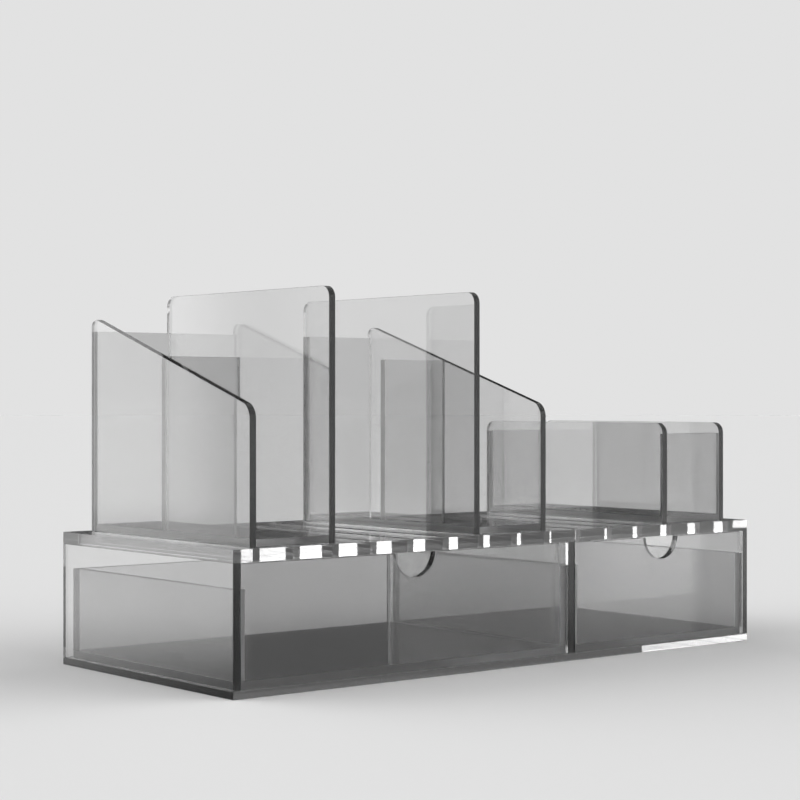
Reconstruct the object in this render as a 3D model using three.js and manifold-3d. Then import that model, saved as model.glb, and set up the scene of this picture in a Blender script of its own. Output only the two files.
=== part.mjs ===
// Stationery organizer box in clear acrylic sheet: a two-drawer cabinet under a grooved top
// plate, with a pen holder, a clip holder and a card holder standing in the grooves.
// Millimetres, Z up. X runs to the right along the front and Y towards the back.
// The origin lies on the table under the middle of the cabinet.

import * as THREE from 'three';
import { mergeVertices } from 'three/addons/utils/BufferGeometryUtils.js';
import Module from 'manifold-3d';

// Sheet stock and the way it is put together
const sheet = 3;                   // every panel but the top plate
const glueLine = 0.05;             // cement film between glued sheets
const arcSegments = 8;             // curve steps in one eighth of a round

// Cabinet
const cabinetWidth = 288;
const cabinetDepth = 127.5;
const cabinetHeight = 56;
const topPlateThickness = 5;
const leftBayWidth = 170.3;        // between the left wall and the divider

// Grooves, cut right through the top plate and stopped short of its edges
const grooveCount = 15;
const grooveRowMargin = 12.4;      // from the plate's end to the first groove's middle
const grooveSideClearance = 0.15;  // each side of a holder's side panel
const grooveEndClearance = 0.15;   // each end of a holder's side panel
const grooveEndMargin = 4.85;      // solid plate left at each end of a groove
const tongueClearance = 0.2;       // from a side panel's foot up to the plate's underside

// Drawers
const drawerRearGap = 5.5;         // to the cabinet's open back
const drawerSideGap = 0.5;         // to the wall on each side
const drawerLift = 0.3;            // over the base plate
const drawerTopGap = 0.4;          // over the front panel
const drawerWallDrop = 10.2;       // from the top plate to the sides and the back
const fingerNotchRadius = 10.2;
const fingerNotchRise = 0.4;       // centre of the notch above the front panel's edge

// Holders: heights count from the top plate's surface
const holderFloorGap = 0.1;        // running gap under a holder's floor
const tallSideHeight = 100.7;
const slopedFrontHeight = 53.5;
const slopedRearHeight = 91;
const lowSideHeight = 45.3;
const rearWallHeight = 84.8;
const cardWallHeight = 40.5;
const middleWallSetback = 61.2;    // from a holder's front edge to its middle wall
const sideCornerRun = 4.75;        // from a sharp top corner to where its rounding starts

// Which grooves each holder stands in, counted from the left
const penHolderGrooveIndex = 0;
const clipHolderGrooveIndex = 6;
const cardHolderGrooveIndex = 12;
const holderGrooveSpan = 2;

const cutOverrun = 1;              // how far a cutter reaches past a face

const wasm = await Module();
wasm.setup();

// Clear acrylic, seen against a pale room.
function clearAcrylic(tint) {
  return new THREE.MeshStandardMaterial({
    color: tint,
    roughness: 0.05,
    metalness: 0,
    transparent: true,
    opacity: 0.35,
  });
}

const cabinetTint = 0xd9dcde;
const drawerTint = 0xd2d6d8;
const holderTint = 0xe0e3e4;

// How an outline's two axes and its thickness lie in the room.
const axisX = new THREE.Vector3(1, 0, 0);
const axisY = new THREE.Vector3(0, 1, 0);
const axisZ = new THREE.Vector3(0, 0, 1);
const lyingFlat = new THREE.Matrix4().makeBasis(axisX, axisY, axisZ);
const facingSide = new THREE.Matrix4().makeBasis(axisY, axisZ, axisX);
const facingFront = new THREE.Matrix4().makeBasis(axisX, axisZ, axisY.clone().negate());

// A closed outline through corners given anticlockwise. A corner with a run is rounded by
// the arc that touches both its edges at that distance from the sharp corner.
function roundedOutline(corners) {
  const outline = new THREE.Shape();
  corners.forEach(({ at, run = 0 }, index) => {
    const toBefore = corners.at(index - 1).at.clone().sub(at).normalize();
    const toAfter = corners[(index + 1) % corners.length].at.clone().sub(at).normalize();
    const start = at.clone().addScaledVector(toBefore, run);
    if (index === 0) {
      outline.moveTo(start.x, start.y);
    } else {
      outline.lineTo(start.x, start.y);
    }
    if (run > 0) {
      const halfAngle = toBefore.angleTo(toAfter) / 2;
      const bisector = toBefore.clone().add(toAfter).normalize();
      const centre = at.clone().addScaledVector(bisector, run / Math.cos(halfAngle));
      const end = at.clone().addScaledVector(toAfter, run);
      const startAngle = start.clone().sub(centre).angle();
      const endAngle = end.clone().sub(centre).angle();
      outline.absarc(centre.x, centre.y, run * Math.tan(halfAngle), startAngle, endAngle, false);
    }
  });
  outline.closePath();
  return outline;
}

function point(x, y) {
  return new THREE.Vector2(x, y);
}

function rectangle(left, bottom, right, top) {
  return roundedOutline([
    { at: point(left, bottom) },
    { at: point(right, bottom) },
    { at: point(right, top) },
    { at: point(left, top) },
  ]);
}

// A sheet cut to an outline. Its material starts at its own origin and reaches one
// thickness along the third axis of the way it lies.
function cutSheet(outline, thickness, lie) {
  const geometry = new THREE.ExtrudeGeometry(outline, {
    depth: thickness,
    bevelEnabled: false,
    curveSegments: arcSegments,
  });
  return geometry.applyMatrix4(lie);
}

function namedMesh(name, geometry, tint) {
  const mesh = new THREE.Mesh(geometry, clearAcrylic(tint));
  mesh.name = name;
  return mesh;
}

function toSolid(geometry) {
  const bare = geometry.clone();
  bare.deleteAttribute('normal');
  bare.deleteAttribute('uv');
  const merged = mergeVertices(bare);
  return new wasm.Manifold(new wasm.Mesh({
    numProp: 3,
    vertProperties: new Float32Array(merged.attributes.position.array),
    triVerts: new Uint32Array(merged.index.array),
  }));
}

function toGeometry(solid) {
  const mesh = solid.getMesh();
  const geometry = new THREE.BufferGeometry();
  geometry.setAttribute('position', new THREE.BufferAttribute(mesh.vertProperties, 3));
  geometry.setIndex(new THREE.BufferAttribute(mesh.triVerts, 1));
  const flatShaded = geometry.toNonIndexed();
  flatShaded.computeVertexNormals();
  return flatShaded;
}

// Sizes that several sub-parts share
const cabinetLeft = -cabinetWidth / 2;
const cabinetFront = -cabinetDepth / 2;
const wallBottom = sheet + glueLine;
const bayCeiling = cabinetHeight - topPlateThickness;
const wallHeight = bayCeiling - glueLine - wallBottom;
const leftBayStart = cabinetLeft + sheet;
const dividerLeft = leftBayStart + leftBayWidth;
const rightBayStart = dividerLeft + sheet;
const rightBayWidth = cabinetWidth / 2 - sheet - rightBayStart;
const drawerLength = cabinetDepth - drawerRearGap;
const drawerWallTop = bayCeiling - drawerWallDrop;
const grooveSpacing = (cabinetWidth - 2 * grooveRowMargin) / (grooveCount - 1);
const grooveWidth = sheet + 2 * grooveSideClearance;
const grooveLength = cabinetDepth - 2 * grooveEndMargin;
const holderDepth = grooveLength - 2 * grooveEndClearance;
const tongueDepth = topPlateThickness - tongueClearance;
const holderInnerWidth = holderGrooveSpan * grooveSpacing - sheet;

function grooveCentre(index) {
  return (index - (grooveCount - 1) / 2) * grooveSpacing;
}

// The base plate lies on the table and carries the three upright walls.
function basePlate() {
  const outline = rectangle(0, 0, cabinetWidth, cabinetDepth);
  const plate = namedMesh('base_plate', cutSheet(outline, sheet, lyingFlat), cabinetTint);
  plate.position.set(cabinetLeft, cabinetFront, 0);
  return plate;
}

// The side walls and the divider run the cabinet's full depth between the plates.
function cabinetWall(name, left) {
  const outline = rectangle(0, 0, cabinetDepth, wallHeight);
  const wall = namedMesh(name, cutSheet(outline, sheet, facingSide), cabinetTint);
  wall.position.set(left, cabinetFront, wallBottom);
  return wall;
}

// The top plate has a row of stopped grooves, square at both ends, cut right through it.
function groovedTopPlate() {
  const blank = cutSheet(rectangle(0, 0, cabinetWidth, cabinetDepth), topPlateThickness, lyingFlat);
  const cutterOutline = rectangle(0, 0, grooveWidth, grooveLength);
  const cutter = toSolid(cutSheet(cutterOutline, topPlateThickness + 2 * cutOverrun, lyingFlat));
  let plate = toSolid(blank);
  for (let index = 0; index < grooveCount; index += 1) {
    const left = grooveCentre(index) - cabinetLeft - grooveWidth / 2;
    plate = plate.subtract(cutter.translate([left, grooveEndMargin, -cutOverrun]));
  }
  const mesh = namedMesh('grooved_top_plate', toGeometry(plate), cabinetTint);
  mesh.position.set(cabinetLeft, cabinetFront, bayCeiling);
  return mesh;
}

// A drawer's front fills the bay's mouth, with a half-round finger notch in its top edge.
function drawerFront(name, width, height) {
  const notchMiddle = width / 2;
  const notchCentre = height + fingerNotchRise;
  const dip = Math.asin(fingerNotchRise / fingerNotchRadius);
  const halfMouth = fingerNotchRadius * Math.cos(dip);
  const outline = new THREE.Shape();
  outline.moveTo(0, 0);
  outline.lineTo(width, 0);
  outline.lineTo(width, height);
  outline.lineTo(notchMiddle + halfMouth, height);
  outline.absarc(notchMiddle, notchCentre, fingerNotchRadius, -dip, Math.PI + dip, true);
  outline.lineTo(0, height);
  outline.closePath();
  const front = namedMesh(name, cutSheet(outline, sheet, facingFront), drawerTint);
  front.position.set(0, sheet, 0);
  return front;
}

// A drawer is a tray of four sheets glued behind its front panel.
function drawer(name, bayStart, bayWidth) {
  const group = new THREE.Group();
  const width = bayWidth - 2 * drawerSideGap;
  const frontBottom = sheet + drawerLift;
  const frontHeight = bayCeiling - drawerTopGap - frontBottom;
  const trayFront = sheet + glueLine;
  const trayLength = drawerLength - trayFront;
  const wallBase = sheet + glueLine;
  const trayWallHeight = drawerWallTop - frontBottom - wallBase;
  const backWidth = width - 2 * (sheet + glueLine);

  const floorOutline = rectangle(0, 0, width, trayLength);
  const floor = namedMesh(`${name}_floor`, cutSheet(floorOutline, sheet, lyingFlat), drawerTint);
  floor.position.set(0, trayFront, 0);

  const sideOutline = rectangle(0, 0, trayLength, trayWallHeight);
  const leftSide = namedMesh(`${name}_left_side`, cutSheet(sideOutline, sheet, facingSide), drawerTint);
  leftSide.position.set(0, trayFront, wallBase);
  const rightSide = namedMesh(`${name}_right_side`, cutSheet(sideOutline, sheet, facingSide), drawerTint);
  rightSide.position.set(width - sheet, trayFront, wallBase);

  const backOutline = rectangle(0, 0, backWidth, trayWallHeight);
  const back = namedMesh(`${name}_back`, cutSheet(backOutline, sheet, facingFront), drawerTint);
  back.position.set(sheet + glueLine, drawerLength, wallBase);

  group.add(drawerFront(`${name}_front`, width, frontHeight), floor, leftSide, rightSide, back);
  group.position.set(bayStart + drawerSideGap, cabinetFront, frontBottom);
  return group;
}

// A holder's side panel, from the tongue that stands in the groove to its rounded top.
function holderSide(name, frontHeight, rearHeight) {
  const outline = roundedOutline([
    { at: point(0, -tongueDepth) },
    { at: point(holderDepth, -tongueDepth) },
    { at: point(holderDepth, rearHeight), run: sideCornerRun },
    { at: point(0, frontHeight), run: sideCornerRun },
  ]);
  return namedMesh(name, cutSheet(outline, sheet, facingSide), holderTint);
}

// A wall across a holder, standing on its floor between its two sides.
function holderWall(name, topHeight, front) {
  const base = holderFloorGap + sheet + glueLine;
  const outline = rectangle(0, 0, holderInnerWidth - 2 * glueLine, topHeight - base);
  const wall = namedMesh(name, cutSheet(outline, sheet, facingFront), holderTint);
  wall.position.set(sheet / 2 + glueLine, front + sheet, base);
  return wall;
}

// A holder stands in two grooves: its own origin is the left groove's middle, at the front.
function holder(name, grooveIndex, leftSide, rightSide, walls) {
  const group = new THREE.Group();
  const floorOutline = rectangle(0, 0, holderInnerWidth - 2 * glueLine, holderDepth);
  const floor = namedMesh(`${name}_floor`, cutSheet(floorOutline, sheet, lyingFlat), holderTint);
  floor.position.set(sheet / 2 + glueLine, 0, holderFloorGap);
  leftSide.position.set(-sheet / 2, 0, 0);
  rightSide.position.set(holderInnerWidth + sheet / 2, 0, 0);
  group.add(leftSide, rightSide, floor, ...walls);
  const front = cabinetFront + grooveEndMargin + grooveEndClearance;
  group.position.set(grooveCentre(grooveIndex), front, cabinetHeight);
  return group;
}

function tallSide(name) {
  return holderSide(name, tallSideHeight, tallSideHeight);
}

function slopedSide(name) {
  return holderSide(name, slopedFrontHeight, slopedRearHeight);
}

function lowSide(name) {
  return holderSide(name, lowSideHeight, lowSideHeight);
}

// The middle and rear walls that the pen holder and the clip holder both have. The middle
// wall's top meets the sloped side's edge halfway through its thickness.
function dividingWalls(name) {
  const slope = (slopedRearHeight - slopedFrontHeight) / holderDepth;
  const middleWallHeight = slopedFrontHeight + slope * (middleWallSetback + sheet / 2);
  return [
    holderWall(`${name}_middle_wall`, middleWallHeight, middleWallSetback),
    holderWall(`${name}_rear_wall`, rearWallHeight, holderDepth - sheet),
  ];
}

function penHolder() {
  const name = 'pen_holder';
  const left = slopedSide(`${name}_sloped_side`);
  const right = tallSide(`${name}_tall_side`);
  return holder(name, penHolderGrooveIndex, left, right, dividingWalls(name));
}

function clipHolder() {
  const name = 'clip_holder';
  const left = tallSide(`${name}_tall_side`);
  const right = slopedSide(`${name}_sloped_side`);
  return holder(name, clipHolderGrooveIndex, left, right, dividingWalls(name));
}

function cardHolder() {
  const name = 'card_holder';
  const left = lowSide(`${name}_left_side`);
  const right = lowSide(`${name}_right_side`);
  const walls = [
    holderWall(`${name}_front_wall`, cardWallHeight, 0),
    holderWall(`${name}_rear_wall`, cardWallHeight, holderDepth - sheet),
  ];
  return holder(name, cardHolderGrooveIndex, left, right, walls);
}

const organizer = new THREE.Group();
organizer.add(
  basePlate(),
  cabinetWall('left_wall', cabinetLeft),
  cabinetWall('centre_divider', dividerLeft),
  cabinetWall('right_wall', cabinetWidth / 2 - sheet),
  groovedTopPlate(),
  drawer('left_drawer', leftBayStart, leftBayWidth),
  drawer('right_drawer', rightBayStart, rightBayWidth),
  penHolder(),
  clipHolder(),
  cardHolder(),
);

export default organizer;
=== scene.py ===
import math

import bpy
from mathutils import Euler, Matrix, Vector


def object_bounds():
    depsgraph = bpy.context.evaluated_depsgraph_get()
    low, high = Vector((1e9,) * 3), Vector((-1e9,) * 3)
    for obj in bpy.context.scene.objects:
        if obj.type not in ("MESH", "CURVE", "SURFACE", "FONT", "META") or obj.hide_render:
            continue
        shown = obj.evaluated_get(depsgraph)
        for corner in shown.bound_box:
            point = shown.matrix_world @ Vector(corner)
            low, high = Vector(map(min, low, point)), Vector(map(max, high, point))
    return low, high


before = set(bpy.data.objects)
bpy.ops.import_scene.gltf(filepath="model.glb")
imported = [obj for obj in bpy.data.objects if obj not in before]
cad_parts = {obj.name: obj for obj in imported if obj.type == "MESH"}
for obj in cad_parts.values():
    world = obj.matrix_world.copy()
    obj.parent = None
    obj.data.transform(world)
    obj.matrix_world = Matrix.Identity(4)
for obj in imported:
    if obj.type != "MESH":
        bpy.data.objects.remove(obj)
cad_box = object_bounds()

MM = 0.001


class Link:
    """A socket of a node tree that takes part in Python expressions."""

    def __init__(self, shader, socket):
        self.shader = shader
        self.socket = socket

    def calculated(self, operation, *values):
        return self.shader.node("ShaderNodeMath", {"operation": operation}, values)

    def __add__(self, other):
        return self.calculated("ADD", self, other)

    __radd__ = __add__

    def __sub__(self, other):
        return self.calculated("SUBTRACT", self, other)

    def __rsub__(self, other):
        return self.calculated("SUBTRACT", other, self)

    def __mul__(self, other):
        return self.calculated("MULTIPLY", self, other)

    __rmul__ = __mul__

    def __abs__(self):
        return self.calculated("ABSOLUTE", self)

    def __gt__(self, other):
        return self.calculated("GREATER_THAN", self, other)

    def __lt__(self, other):
        return self.calculated("LESS_THAN", self, other)

    def ramp(self, start, end):
        """0 below start, 1 above end, and a smooth rise between."""
        limits = {"Value": self, "From Min": start, "From Max": end}
        return self.shader.node("ShaderNodeMapRange", {"interpolation_type": "SMOOTHSTEP"}, limits)

    def output(self, name):
        return Link(self.shader, self.socket.node.outputs[name])


class Shader:
    """The node tree of a material or of the world, emptied and ready for new nodes."""

    def __init__(self, owner):
        owner.use_nodes = True
        self.tree = owner.node_tree
        self.tree.nodes.clear()

    def node(self, kind, settings=None, inputs=None):
        """A new node: its settings first, then its sockets' values or links, by name or in order."""
        made = self.tree.nodes.new(kind)
        for name, value in (settings or {}).items():
            setattr(made, name, value)
        fed = inputs or {}
        for key, value in fed.items() if isinstance(fed, dict) else enumerate(fed):
            if isinstance(value, Link):
                self.tree.links.new(value.socket, made.inputs[key])
            else:
                made.inputs[key].default_value = value
        return Link(self, made.outputs[0]) if made.outputs else None

    def bounced(self, kind):
        """1 for light that a glossy or a diffuse surface has already sent on, 0 for the rest."""
        return self.node("ShaderNodeLightPath").output(kind + " Depth") > 0.5


def grey(level):
    return (level, level, level, 1.0)


# the room: pale all round for the camera, dark with softboxes for reflections
BACKDROP = 0.76
DARK_ROOM = 0.05
DARK_TABLE = 0.13
# pale again far below and far above, so that raised views reflect the paper and the ceiling:
# the level that each adds, and between which z of the direction it fades
PAPER_BELOW = 0.65
PAPER_FADE = (-0.30, -0.22)
CEILING = 0.50
CEILING_FADE = (0.25, 0.35)
# azimuth from +Y towards +X and half width in degrees, lowest and highest z of the direction,
# softness of the lower edge, level
SOFTBOXES = {
    "left back": (-42.0, 25.0, -0.13, 0.40, 0.03, 1.65),
    "left back, bright side": (-25.0, 8.5, -0.06, 0.30, 0.01, 0.90),
    "left back, bright end": (-48.5, 12.5, -0.105, 0.40, 0.03, 0.35),
    "left back, bright foot": (-48.5, 12.5, -0.105, -0.06, 0.03, 0.90),
    "left back, far foot": (-54.0, 8.5, -0.105, -0.06, 0.03, 1.10),
    "right front": (131.0, 18.0, -0.085, 0.40, 0.05, 0.65),
    "right front, low": (131.0, 18.0, -0.30, 0.40, 0.01, 0.25),
    "right front, bright foot": (122.0, 14.0, -0.115, -0.06, 0.02, 0.70),
    "right front, side": (156.5, 8.0, -0.30, 0.40, 0.01, 0.45),
    "right back, high": (39.0, 25.0, 0.10, 0.40, 0.01, 0.13),
    "dark flag for the sloped edges": (46.0, 12.0, 0.41, 0.56, 0.02, -CEILING),
}
BLUR = 0.02

# the lamp of the paper and of the frosted edges shines from the left back and the right front,
# brighter with height and up to a soft top, between these two z of the direction
LAMP_AZIMUTH = -45.0
LAMP_AT_HORIZON = 0.5
LAMP_TOP = (0.75, 0.85)
FILL = 0.10  # even light from all round
KEY = 4.2  # with the fill this lights open paper at 1


def heading(azimuth):
    """x and y of the level direction at an azimuth from +Y towards +X in degrees."""
    return math.sin(math.radians(azimuth)), math.cos(math.radians(azimuth))


def softbox_mask(x, y, z, azimuth, half_width, low, high, softness):
    """1 in the directions x, y, z that meet the softbox, 0 elsewhere."""
    toward_x, toward_y = heading(azimuth)
    along = x * toward_x + y * toward_y
    across = abs(x * toward_y - y * toward_x)
    edge = math.sin(math.radians(half_width))
    mask = (along > 0) * (1 - across.ramp(edge - BLUR, edge + BLUR))
    return mask * z.ramp(low - softness, low + softness) * (1 - z.ramp(high - BLUR, high + BLUR))


def studio_world():
    world = bpy.data.worlds.new("studio")
    bpy.context.scene.world = world
    # direct, reflected and scattered light each meet another room, so it isn't sampled as a lamp
    world.cycles.sampling_method = "NONE"
    shader = Shader(world)
    direction = shader.node("ShaderNodeTexCoord").output("Generated")
    axes = shader.node("ShaderNodeSeparateXYZ", inputs=[direction])
    x, y, z = (axes.output(name) for name in "XYZ")

    seen = DARK_ROOM + (z < 0) * (DARK_TABLE - DARK_ROOM)
    seen = seen + (1 - z.ramp(*PAPER_FADE)) * PAPER_BELOW + z.ramp(*CEILING_FADE) * CEILING
    for *place, level in SOFTBOXES.values():
        seen = seen + softbox_mask(x, y, z, *place) * level

    toward_x, toward_y = heading(LAMP_AZIMUTH)
    along = x * toward_x + y * toward_y
    lamp = FILL + along * along * (LAMP_AT_HORIZON + z) * (1 - z.ramp(*LAMP_TOP)) * KEY

    reflected = shader.bounced("Glossy")
    scattered = shader.bounced("Diffuse")
    strength = seen * reflected + (1 - reflected) * BACKDROP
    strength = strength * (1 - scattered) + lamp * scattered
    background = shader.node("ShaderNodeBackground", inputs={"Color": grey(1.0), "Strength": strength})
    shader.node("ShaderNodeOutputWorld", inputs={"Surface": background})


# the round sheet of paper, just under the box
PAPER_RADIUS = 12.0
PAPER_TOP = -0.1 * MM
# painted light on the paper under the box, an emission in place of the light that the clear sheets let
# through, and how softly it ends
PAINTED_GLOW_UNDER_BOX = 0.22
PAINTED_GLOW_EDGE = 2 * MM


def studio_floor():
    bpy.ops.mesh.primitive_circle_add(
        vertices=128, radius=PAPER_RADIUS, fill_type="NGON", location=(0, 0, PAPER_TOP))
    floor = bpy.context.object
    floor.name = "floor"
    material = bpy.data.materials.new("floor_paper")
    floor.data.materials.append(material)
    shader = Shader(material)

    place = shader.node("ShaderNodeTexCoord").output("Object")
    axes = shader.node("ShaderNodeSeparateXYZ", inputs=[place])
    # painted light: the paper glows within the box's footprint, in place of light let through the sheets
    painted_glow = PAINTED_GLOW_UNDER_BOX
    for axis, half in zip("XY", cad_box[1]):
        painted_glow = (1 - abs(axes.output(axis)).ramp(half - PAINTED_GLOW_EDGE, half)) * painted_glow
    light = shader.node("ShaderNodeCombineColor", inputs=[painted_glow, painted_glow, painted_glow])
    painted_glow_emission = shader.node("ShaderNodeEmission", inputs={"Color": light})
    paper = shader.node("ShaderNodeBsdfDiffuse", inputs={"Color": grey(BACKDROP)})
    paper = shader.node("ShaderNodeAddShader", inputs=[paper, painted_glow_emission])

    # reflections look through the paper, at the lower half of the room
    clear = shader.node("ShaderNodeBsdfTransparent", inputs={"Color": grey(1.0)})
    surface = shader.node("ShaderNodeMixShader", inputs=[shader.bounced("Glossy"), paper, clear])
    shader.node("ShaderNodeOutputMaterial", inputs={"Surface": surface})


# the camera as fitted to the photo: lens and sensor in mm, place in metres, angles in degrees
SENSOR_WIDTH = 36.0
LENS = 87.977
CAMERA_PLACE = (-0.554714, -0.668321, 0.112657)
CAMERA_TILT = 89.94
CAMERA_AZIMUTH = -39.068


def photo_camera():
    data = bpy.data.cameras.new("camera")
    data.sensor_width = SENSOR_WIDTH
    data.lens = LENS
    camera = bpy.data.objects.new("camera", data)
    camera.location = CAMERA_PLACE
    camera.rotation_euler = Euler((math.radians(CAMERA_TILT), 0.0, math.radians(CAMERA_AZIMUTH)))
    bpy.context.scene.collection.objects.link(camera)
    bpy.context.scene.camera = camera


# share of the normal along an axis, between which an edge turns into a face or into a sawn end
FACE_TURN = (0.60, 0.95)
SAWN_TURN = (0.80, 0.98)

# cells of the noise per metre, along the rubbed axis (for the streaks the thickness axis) and
# across it, and its detail
SCRATCH_LINES = (25.0, 900.0, 1.0)
SCRATCH_PATCHES = (22.0, 22.0, 2.0)
WIPE_MARKS = (9.0, 60.0, 2.0)
POLISH_STREAKS = (2500.0, 60.0, 2.0)
CLOUDS = (14.0, 14.0, 1.0)
# level of the noise, from none to all of a mark; a scratch is where its noise is half
PATCH_FADE = (0.48, 0.66)
WIPE_FADE = (0.50, 0.72)
STREAK_FADE = (0.35, 0.75)
SCRATCH_WIDTH = 0.012

# finishes of the sheet, as roughness
POLISHED_FACE = 0.005
SCRATCHED = 0.07
WIPED = 0.03
POLISHED_EDGE = 0.01
STREAKED_EDGE = 0.02
SAWN_EDGE = 0.5
# share of the light that scatters at a polished edge, and weight of the clear coat there
EDGE_HAZE = 0.012
EDGE_COAT = 0.3

# changes of the base colour
CLOUDINESS = 0.05
DUST = 0.04

# heights on the surface, as shares of RELIEF
RELIEF = 0.03 * MM
CLOUD_HEIGHT = 0.6
SCRATCH_DEPTH = 0.004
STREAK_HEIGHT = 0.003


def noise(shader, place, axis, along, across, detail):
    """Noise in cells of the given counts per metre, along an axis and across it."""
    scales = [along if name == axis else across for name in "xyz"]
    scaled = shader.node("ShaderNodeMapping", inputs={"Vector": place, "Scale": scales})
    inputs = {"Vector": scaled, "Scale": 1.0, "Detail": detail, "Roughness": 0.55}
    return shader.node("ShaderNodeTexNoise", inputs=inputs)


def acrylic(name, tint, thin, rub, dull_ends=(), frost=EDGE_HAZE):
    """Smoke clear sheet: thin is its thickness axis and rub the one that it is rubbed along.
    dull_ends are the directions that its unpolished edges face, in the cemented joints,
    and frost is the share of the light that scatters there."""
    material = bpy.data.materials.new(name)
    shader = Shader(material)
    coordinate = shader.node("ShaderNodeTexCoord")
    place = coordinate.output("Object")
    facing = shader.node("ShaderNodeSeparateXYZ", inputs=[coordinate.output("Normal")])
    face = abs(facing.output(thin.upper())).ramp(*FACE_TURN)
    edge = 1 - face

    # hairline scratches along the rub direction, about 40 mm long, gathered in patches
    lines = 1 - abs(noise(shader, place, rub, *SCRATCH_LINES) - 0.5).ramp(0.0, SCRATCH_WIDTH)
    scratches = lines * noise(shader, place, rub, *SCRATCH_PATCHES).ramp(*PATCH_FADE)
    # wide wipe marks, the faint streaks of the polish on the cut edges, and the cast-in cloudiness
    wipes = noise(shader, place, rub, *WIPE_MARKS).ramp(*WIPE_FADE)
    streaks = noise(shader, place, thin, *POLISH_STREAKS)
    clouds = noise(shader, place, rub, *CLOUDS)

    face_roughness = scratches * SCRATCHED + wipes * WIPED + POLISHED_FACE
    edge_roughness = streaks.ramp(*STREAK_FADE) * STREAKED_EDGE + POLISHED_EDGE
    roughness = face_roughness * face + edge_roughness * edge
    haze = edge * EDGE_HAZE
    # sawn ends are satin, and more of the light scatters there
    for sign, axis in dull_ends:
        sawn = (facing.output(axis.upper()) * (1 if sign == "+" else -1)).ramp(*SAWN_TURN)
        roughness = roughness * (1 - sawn) + sawn * SAWN_EDGE
        haze = haze + sawn * (frost - EDGE_HAZE)

    # the smoke tint is a little uneven, and scratches catch dust
    face_scratches = scratches * face
    shade = clouds * CLOUDINESS + (tint - CLOUDINESS / 2) - face_scratches * DUST
    color = shader.node("ShaderNodeCombineColor", inputs=[shade, shade, shade])
    # cast sheet isn't quite flat, and a scratch is a small groove
    height = clouds * CLOUD_HEIGHT - face_scratches * SCRATCH_DEPTH + streaks * edge * STREAK_HEIGHT
    relief = shader.node("ShaderNodeBump", inputs={"Strength": 0.4, "Distance": RELIEF, "Height": height})

    clear = shader.node("ShaderNodeBsdfPrincipled", inputs={
        "Base Color": color,
        "Roughness": roughness,
        "IOR": 1.49,
        "Transmission Weight": 1.0,
        "Coat Weight": edge * EDGE_COAT,
        "Coat Roughness": 0.03,
        "Coat IOR": 1.6,
        "Normal": relief,
    })
    frosted = shader.node("ShaderNodeBsdfPrincipled", inputs={"Base Color": grey(0.8), "Roughness": 0.8})
    surface = shader.node("ShaderNodeMixShader", inputs=[haze, clear, frosted])
    shader.node("ShaderNodeOutputMaterial", inputs={"Surface": surface})
    return material


# tints of the sheets, as grey levels
BASE = 0.64
CABINET = 0.66
DRAWER = 0.66
HOLDER = 0.67
HOLDER_WALL = 0.635

FRONT = ("-y",)
ACROSS = ("-x", "+x")
ALL_ROUND = ("-x", "+x", "-y", "+y")

# endings of the nodes' names: tint, thickness axis, rubbed along, dull ends and their frost
SHEETS = {
    "base_plate": (BASE, "z", "y"),
    "top_plate": (CABINET, "z", "y"),
    "_wall": (CABINET, "x", "y"),
    "_divider": (CABINET, "x", "y"),
    "drawer_front": (DRAWER, "y", "x"),
    "drawer_floor": (DRAWER, "z", "y", ALL_ROUND, 0.05),
    "drawer_left_side": (DRAWER, "x", "y", FRONT, 0.75),
    "drawer_right_side": (DRAWER, "x", "y", FRONT, 0.75),
    "drawer_back": (DRAWER, "y", "x", ACROSS, 0.60),
    "holder_floor": (HOLDER, "z", "x", ACROSS, 0.20),
    "holder_front_wall": (HOLDER_WALL, "y", "z", ACROSS, 0.20),
    "holder_middle_wall": (HOLDER_WALL, "y", "z", ACROSS, 0.20),
    "holder_rear_wall": (HOLDER_WALL, "y", "z", ACROSS, 0.20),
    "_side": (HOLDER, "x", "z"),
}

WELD_DISTANCE = 0.001 * MM
BEVEL_WIDTH = 0.06 * MM
BEVEL_ANGLE = math.radians(40)


def dress_sheets():
    """Give every sheet its acrylic and polished edges."""
    materials = {}
    for name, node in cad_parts.items():
        ending = max((end for end in SHEETS if name.endswith(end)), key=len)
        if ending not in materials:
            materials[ending] = acrylic(ending.strip("_") + "_acrylic", *SHEETS[ending])
        for slot in node.material_slots:
            slot.material = materials[ending]
        weld = node.modifiers.new("weld", "WELD")
        weld.merge_threshold = WELD_DISTANCE
        bevel = node.modifiers.new("polished edges", "BEVEL")
        bevel.width = BEVEL_WIDTH
        bevel.segments = 2
        bevel.limit_method = "ANGLE"
        bevel.angle_limit = BEVEL_ANGLE


dress_sheets()
studio_world()
studio_floor()
photo_camera()

scene = bpy.context.scene
scene.view_settings.view_transform = "Standard"
# light crosses many sheets, two surfaces each
scene.cycles.max_bounces = 32
scene.cycles.transmission_bounces = 32
scene.cycles.glossy_bounces = 8
scene.cycles.use_denoising = True
